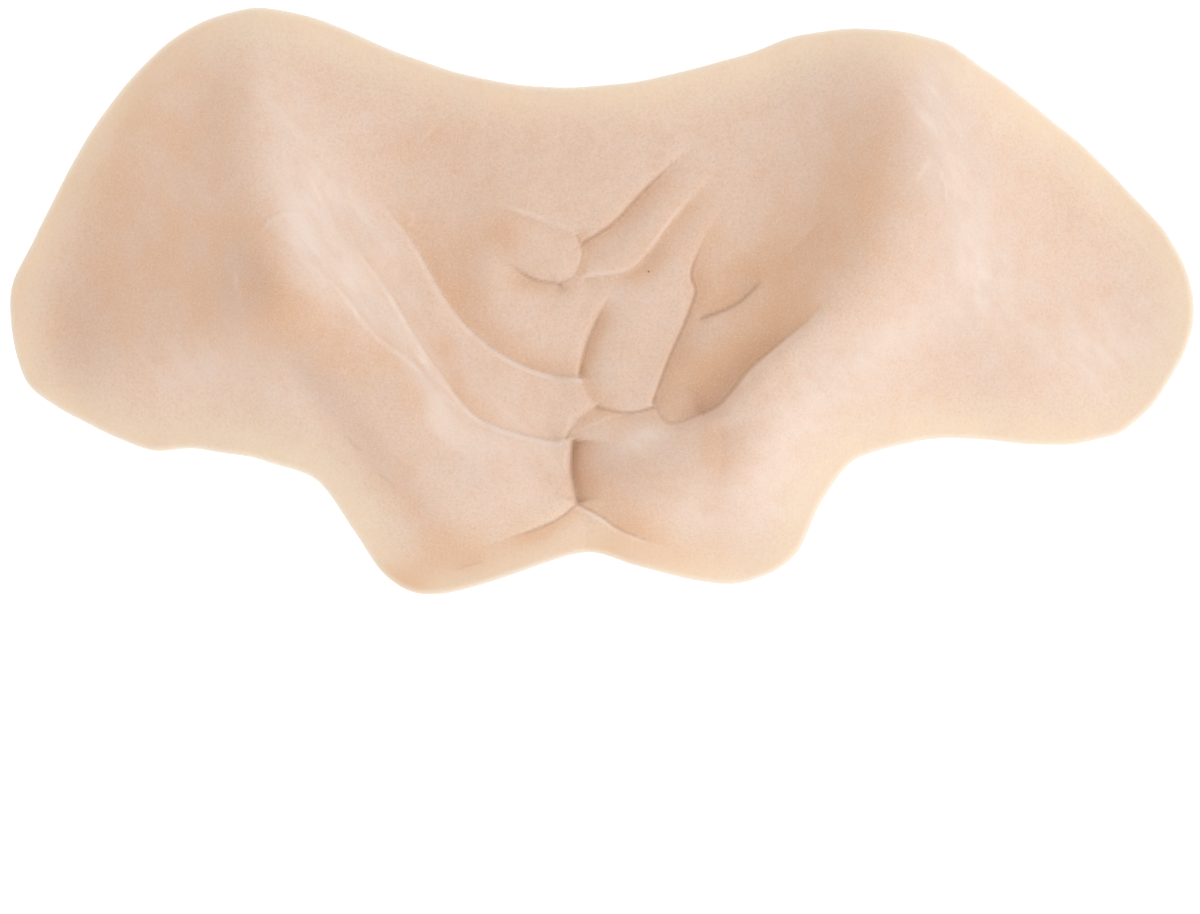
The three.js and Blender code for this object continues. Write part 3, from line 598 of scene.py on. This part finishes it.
def face_grid(at, rows):
    """Columns across the span, closer in the middle, each cut into rows that crowd towards its ends."""
    t = np.linspace(-1, 1, COLUMNS + 1)
    turn = (COLUMN_FOCUS * t + (1 - COLUMN_FOCUS) * t**5 + 1) / 2
    x = -np.cos(math.pi * turn) * SPAN / 2
    low, high = at(BROWLINE, turn), at(HAIRLINE, turn)
    s = np.linspace(0, 1, rows + 1)
    s = (1 - ROW_FOCUS) * s + ROW_FOCUS * (1 - np.cos(math.pi * s)) / 2
    y = low[:, None] + (high - low)[:, None] * s
    y[0], y[-1] = low[0], low[-1]
    return np.broadcast_to(x[:, None], y.shape).copy(), y


def number_grid(shape, first):
    """Vertex numbers of a face grid whose first and last columns are one vertex each."""
    columns, rows = shape
    inner = first + 1 + np.arange((columns - 2) * rows).reshape(columns - 2, rows)
    last = first + 1 + inner.size
    return np.vstack([np.full(rows, first), inner, np.full(rows, last)])


def without_repeats(values):
    """A grid's values in the order of number_grid."""
    return np.concatenate([values[0, :1], values[1:-1].ravel(), values[-1, :1]])


def quads(numbers, flip=False):
    """The four corners of each cell of a grid of vertex numbers."""
    a, b, c, d = numbers[:-1, :-1], numbers[1:, :-1], numbers[1:, 1:], numbers[:-1, 1:]
    cells = np.stack([a, b, c, d], -1).reshape(-1, 4)
    return cells[:, ::-1] if flip else cells


def mesh_from(name, points, faces, attributes):
    """A mesh of quads and triangles from arrays, where a quad with a repeated corner is a triangle."""
    same = faces == np.roll(faces, -1, axis=1)
    whole = faces[~same.any(1)]
    cut = faces[same.any(1)]
    triangles = cut[~same[same.any(1)]].reshape(-1, 3)
    corners = np.concatenate([whole.ravel(), triangles.ravel()]).astype(np.int32)
    counts = np.concatenate([np.full(len(whole), 4), np.full(len(triangles), 3)]).astype(np.int32)
    mesh = bpy.data.meshes.new(name)
    mesh.vertices.add(len(points))
    mesh.vertices.foreach_set("co", (points * METRE).astype(np.float32).ravel())
    mesh.loops.add(len(corners))
    mesh.loops.foreach_set("vertex_index", corners)
    mesh.polygons.add(len(counts))
    mesh.polygons.foreach_set("loop_start", np.concatenate([[0], np.cumsum(counts)[:-1]]).astype(np.int32))
    mesh.update(calc_edges=True)
    mesh.polygons.foreach_set("use_smooth", np.ones(len(counts), bool))
    for key, values in attributes.items():
        mesh.attributes.new(key, "FLOAT", "POINT").data.foreach_set("value", values.astype(np.float32))
    mesh.validate()
    return mesh


def forehead_mesh():
    """The outer face and the hollow face over the same outline, joined by a narrow rim."""
    at, ring = outline_edges()
    points, numbers = [], []
    attributes = {key: [] for key in ("edge", "crease", "lip", *TINT_NAMES)}
    count = 0
    for rows, outer in ((FRONT_ROWS, True), (BACK_ROWS, False)):
        x, y = face_grid(at, rows)
        brow = brow_form(x, y)
        distance = nearest(x, y, ring)[0]
        distance[0] = distance[-1] = distance[:, 0] = distance[:, -1] = 0
        z = hollow_face(x, y, brow)
        rise = line = lip = fold_shade = np.zeros(x.shape)
        if outer:
            rise, line, lip, fold_shade = all_folds(x, y)
            z = outer_face(x, y, z, brow, rise, distance)
        grid = number_grid(x.shape, count)
        count = grid.max() + 1
        numbers.append(grid)
        points.append(np.stack([without_repeats(v) for v in (x, y, z)], 1))
        attributes["edge"].append(without_repeats(distance))
        # crease: share of the painted dark shade line along each fold
        attributes["crease"].append(without_repeats(np.clip(line, 0, 1)))
        # lip: share of talc and painted highlight on the raised side of each fold
        attributes["lip"].append(without_repeats(np.clip(lip, 0, 1)))
        for c, key in enumerate(TINT_NAMES):
            tint = sum(row[5 + c] * np.exp(-on_ellipse(x, y, *row[:5]) ** 2) for row in TINTS)
            # the painted warm shade of the folds goes in with the warm tints
            tint = tint + (fold_shade if key == "warmth_and_shade" else 0)
            attributes[key].append(without_repeats(tint))
    front, back = numbers
    rims = [np.stack([back[:, 0], front[:, 0]], 1), np.stack([front[:, -1], back[:, -1]], 1)]
    faces = np.vstack([quads(front), quads(back, flip=True), *(quads(rim) for rim in rims)])
    attributes = {key: np.concatenate(values) for key, values in attributes.items()}
    return mesh_from("forehead_rubber", np.vstack(points), faces, attributes)


class Recipe:
    """A small helper that adds nodes to a material and joins them."""

    def __init__(self, name):
        self.material = bpy.data.materials.new(name)
        self.material.use_nodes = True
        self.tree = self.material.node_tree
        self.shader = self.tree.nodes["Principled BSDF"]

    def add(self, kind, inputs=(), **settings):
        """A node, with its settings, and its inputs joined to sockets or set to values."""
        node = self.tree.nodes.new(kind)
        for key, value in settings.items():
            setattr(node, key, value)
        for key, value in dict(inputs).items():
            if isinstance(value, bpy.types.NodeSocket):
                self.tree.links.new(value, node.inputs[key])
            else:
                node.inputs[key].default_value = value
        return node

    def attribute(self, name):
        """A value that the mesh carries."""
        return self.add("ShaderNodeAttribute", attribute_name=name).outputs["Fac"]

    def noise(self, where, scale, detail=3.0, roughness=0.55):
        """Cloudy noise of so many clouds a metre."""
        inputs = {"Vector": where, "Scale": scale, "Detail": detail, "Roughness": roughness}
        return self.add("ShaderNodeTexNoise", inputs).outputs["Fac"]

    def spread(self, value, low, high, to_low=0.0, to_high=1.0):
        """A smooth step of a value, from low and high to two other values."""
        inputs = {"Value": value, "From Min": low, "From Max": high, "To Min": to_low, "To Max": to_high}
        return self.add("ShaderNodeMapRange", inputs, interpolation_type="SMOOTHSTEP").outputs["Result"]

    def plus(self, a, b):
        """The sum of two values."""
        return self.add("ShaderNodeMath", {0: a, 1: b}, operation="ADD").outputs["Value"]

    def times(self, a, b):
        """The product of two values."""
        return self.add("ShaderNodeMath", {0: a, 1: b}, operation="MULTIPLY").outputs["Value"]

    def blend(self, factor, a, b):
        """Two colours mixed: a where the factor is 0 and b where it is 1."""
        node = self.add("ShaderNodeMix", {"Factor": factor}, data_type="RGBA")
        for socket, value in ((node.inputs[6], a), (node.inputs[7], b)):
            if isinstance(value, bpy.types.NodeSocket):
                self.tree.links.new(value, socket)
            else:
                socket.default_value = (*value, 1)
        return node.outputs[2]


def foam_rubber():
    """Peach foam latex: mottled, with painted warm shade and a painted dark line in the folds, powdery on the
    crests, talc and a painted highlight on the fold lips, paler and yellower at the thin edge, partly as
    painted light through it.
    Each coat is a share, worked out from noise and from what the mesh carries, of one colour over the rest."""
    m = Recipe("foam_rubber")
    where = m.add("ShaderNodeTexCoord").outputs["Object"]
    edge, crease, lip = (m.attribute(key) for key in ("edge", "crease", "lip"))
    warmth_and_shade, mauve_and_shade, powder = (m.attribute(key) for key in TINT_NAMES)
    broad = m.noise(where, 70, 3)
    patchy = m.noise(where, 150, 3, 0.5)
    cloudy = m.noise(where, 260, 4, 0.6)
    grain = m.noise(where, 2300, 3, 0.6)
    flecks = m.noise(where, 5200, 2, 0.6)

    # Mottled ground
    colour = m.blend(m.spread(broad, 0.35, 0.65), SKIN, LIGHT_SKIN)
    colour = m.blend(m.spread(cloudy, 0.5, 0.68, 0, 0.45), colour, ROSY)
    colour = m.blend(m.spread(cloudy, 0.5, 0.32, 0, 0.45), colour, CHALKY)
    colour = m.blend(m.spread(patchy, 0.5, 0.7, 0, 0.2), colour, RUDDY)
    colour = m.blend(m.spread(patchy, 0.5, 0.3, 0, 0.25), colour, SALLOW)

    # Paler, yellower band along the edge where the wall is thin: partly the thin rubber's colour, partly
    # painted light shining through it
    band = m.times(m.spread(edge, 10.0, 0.0, 0, 1), m.spread(patchy, 0.3, 0.65, 0.7, 0.95))
    colour = m.blend(band, colour, STRAW)

    # Warm colour, partly the rubber's own warm patches and partly painted shade in the folds and hollows;
    # mauve, partly the rubber's own tone and partly painted shade
    warm_and_shaded = m.times(m.spread(warmth_and_shade, 0, 1.2, 0, 0.85), m.spread(patchy, 0.3, 0.65, 0.6, 1))
    colour = m.blend(warm_and_shaded, colour, ORANGE)
    colour = m.blend(m.spread(warmth_and_shade, 0.9, 2.2, 0, 0.4), colour, RUSSET)
    dusky = m.times(m.spread(mauve_and_shade, 0, 1.0, 0, 0.55), m.spread(patchy, 0.7, 0.35, 0.5, 1))
    colour = m.blend(dusky, colour, MAUVE)

    # Dark grain of the foam
    inland = m.spread(edge, 0.5, 7.0, 0.35, 1)
    colour = m.blend(m.times(m.spread(grain, 0.4, 0.7, 0, 0.3), inland), colour, DARK_GRAIN)

    # Powder in streaks on the crests, and talc with a painted highlight on the lips of the folds
    turned = {"Vector": where, "Rotation": (0, 0, STREAK_TURN), "Scale": STREAK_SIZE}
    along = m.add("ShaderNodeMapping", turned, vector_type="TEXTURE").outputs["Vector"]
    streaks = m.noise(along, 300, 3, 0.6)
    dust = m.times(m.spread(powder, 0, 1.1, 0, 0.8), m.spread(streaks, 0.35, 0.65, 0.45, 1))
    colour = m.blend(dust, colour, POWDER)
    talc_and_highlight = m.times(m.spread(lip, 0.05, 0.9, 0, 0.75), m.spread(cloudy, 0.35, 0.6, 0.3, 1))
    colour = m.blend(talc_and_highlight, colour, TALC_AND_HIGHLIGHT)

    # Painted shade as a dark line in each fold, a pale rim of thin rubber with painted light through it, pale
    # grain and a few specks
    colour = m.blend(m.spread(crease, 0.1, 0.9, 0, 0.6), colour, PAINTED_CREASE_SHADE)
    colour = m.blend(m.spread(edge, 1.0, 0.0, 0, 0.55), colour, BACKLIT_THIN_RIM)
    colour = m.blend(m.times(m.spread(flecks, 0.5, 0.7, 0, 0.35), inland), colour, PALE_GRAIN)
    specks = m.add("ShaderNodeTexVoronoi", {"Vector": where, "Scale": 150.0})
    chosen = m.add("ShaderNodeSeparateColor", {"Color": specks.outputs["Color"]}).outputs[0]
    dots = m.times(m.spread(specks.outputs["Distance"], 0.03, 0.018), m.spread(chosen, 0.955, 0.96))
    colour = m.blend(dots, colour, SPECK)
    m.tree.links.new(colour, m.shader.inputs["Base Color"])

    # Pores, grain and soft unevenness, and the foam's faint glow
    pores = m.add("ShaderNodeTexVoronoi", {"Vector": where, "Scale": 1400.0, "Randomness": 1.0})
    pits = m.spread(pores.outputs["Distance"], 0.0, 0.35)
    fine = m.plus(m.plus(grain, pits), m.noise(where, 600, 3))
    fine = m.plus(fine, m.times(cloudy, 3.0))
    bump = m.add("ShaderNodeBump", {"Height": fine, "Strength": 0.5, "Distance": 0.00006})
    m.tree.links.new(bump.outputs["Normal"], m.shader.inputs["Normal"])
    m.tree.links.new(m.spread(cloudy, 0.3, 0.7, 0.62, 0.74), m.shader.inputs["Roughness"])
    m.shader.inputs["Specular IOR Level"].default_value = 0.3
    m.shader.inputs["Subsurface Weight"].default_value = 0.35
    m.shader.inputs["Subsurface Radius"].default_value = (1.0, 0.55, 0.35)
    m.shader.inputs["Subsurface Scale"].default_value = 0.0008
    m.shader.inputs["Sheen Weight"].default_value = 0.06
    m.shader.inputs["Sheen Roughness"].default_value = 0.5
    return m.material


def forehead_rubber():
    """The worn piece, on the one body, in place of the plain solid."""
    mesh = forehead_mesh()
    mesh.materials.append(foam_rubber())
    piece = bpy.data.objects.new("forehead_rubber", mesh)
    bpy.context.scene.collection.objects.link(piece)
    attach(piece, "root")
    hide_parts("forehead_piece")


# Camera: the photo looks straight down, and its middle lies below the piece. The outline stands above the
# table, which lifts it in the picture by a few pixels.
PHOTO_WIDE, PHOTO_HIGH = 1200, 914
PHOTO_OUTLINE_WIDE = 1184
PHOTO_OUTLINE_MIDDLE = (602, 300)
PARALLAX = 2.3
LENS = 400.0
SENSOR = 36.0
CLIP_SHARE = 4

# Table and light: sizes in metres, angles in degrees
TABLE_HALF = 2.0
TABLE_GAP = 0.00015
TABLE_GLOW = 0.4
TABLE_WHITE = (0.93, 0.93, 0.93, 1)
ROOM_LIGHT = 0.958
LAMP_AZIMUTH = -20
LAMP_ELEVATION = 42
LAMP_DISTANCE = 1.3
LAMP_SIZE = 0.6
LAMP_POWER = 4.0


def photo_camera():
    """A long lens straight above, as far away as makes the photo's frame."""
    data = bpy.data.cameras.new("photo_camera")
    data.lens = LENS
    data.sensor_width = SENSOR
    pixel = SPAN * METRE / PHOTO_OUTLINE_WIDE
    distance = PHOTO_WIDE * pixel * LENS / SENSOR
    data.clip_end = CLIP_SHARE * distance
    camera = bpy.data.objects.new("photo_camera", data)
    across = (PHOTO_WIDE / 2 - PHOTO_OUTLINE_MIDDLE[0]) * pixel
    up = (PHOTO_OUTLINE_MIDDLE[1] + PARALLAX - PHOTO_HIGH / 2) * pixel
    camera.location = (across, up, distance)
    bpy.context.scene.collection.objects.link(camera)
    bpy.context.scene.camera = camera


def table_top():
    """A plain pale square just under the piece."""
    mesh = bpy.data.meshes.new("table_top")
    corners = [(x * TABLE_HALF, y * TABLE_HALF, 0) for x, y in ((-1, -1), (1, -1), (1, 1), (-1, 1))]
    mesh.from_pydata(corners, [], [(0, 1, 2, 3)])
    m = Recipe("table_white")
    m.shader.inputs["Base Color"].default_value = TABLE_WHITE
    m.shader.inputs["Roughness"].default_value = 0.9
    m.shader.inputs["Emission Color"].default_value = (1, 1, 1, 1)
    m.shader.inputs["Emission Strength"].default_value = TABLE_GLOW
    m.shader.inputs["Specular IOR Level"].default_value = 0.1
    mesh.materials.append(m.material)
    top = bpy.data.objects.new("table_top", mesh)
    top.location = (0, 0, -TABLE_GAP)
    bpy.context.scene.collection.objects.link(top)


def studio_light():
    """A bright even room, and one large soft lamp low on the right."""
    scene = bpy.context.scene
    scene.view_settings.view_transform = "Standard"
    world = bpy.data.worlds.new("studio")
    world.use_nodes = True
    room = world.node_tree.nodes["Background"].inputs
    room["Color"].default_value = (1, 1, 1, 1)
    room["Strength"].default_value = ROOM_LIGHT
    scene.world = world
    data = bpy.data.lights.new("key", "AREA")
    data.size = LAMP_SIZE
    data.energy = LAMP_POWER
    lamp = bpy.data.objects.new("key", data)
    a, e = math.radians(LAMP_AZIMUTH), math.radians(LAMP_ELEVATION)
    way = Vector((math.cos(a) * math.cos(e), math.sin(a) * math.cos(e), math.sin(e)))
    place = way * LAMP_DISTANCE
    lamp.location = place
    lamp.rotation_euler = (-place).to_track_quat("-Z", "Y").to_euler()
    scene.collection.objects.link(lamp)


photo_camera()
forehead_rubber()
table_top()
studio_light()
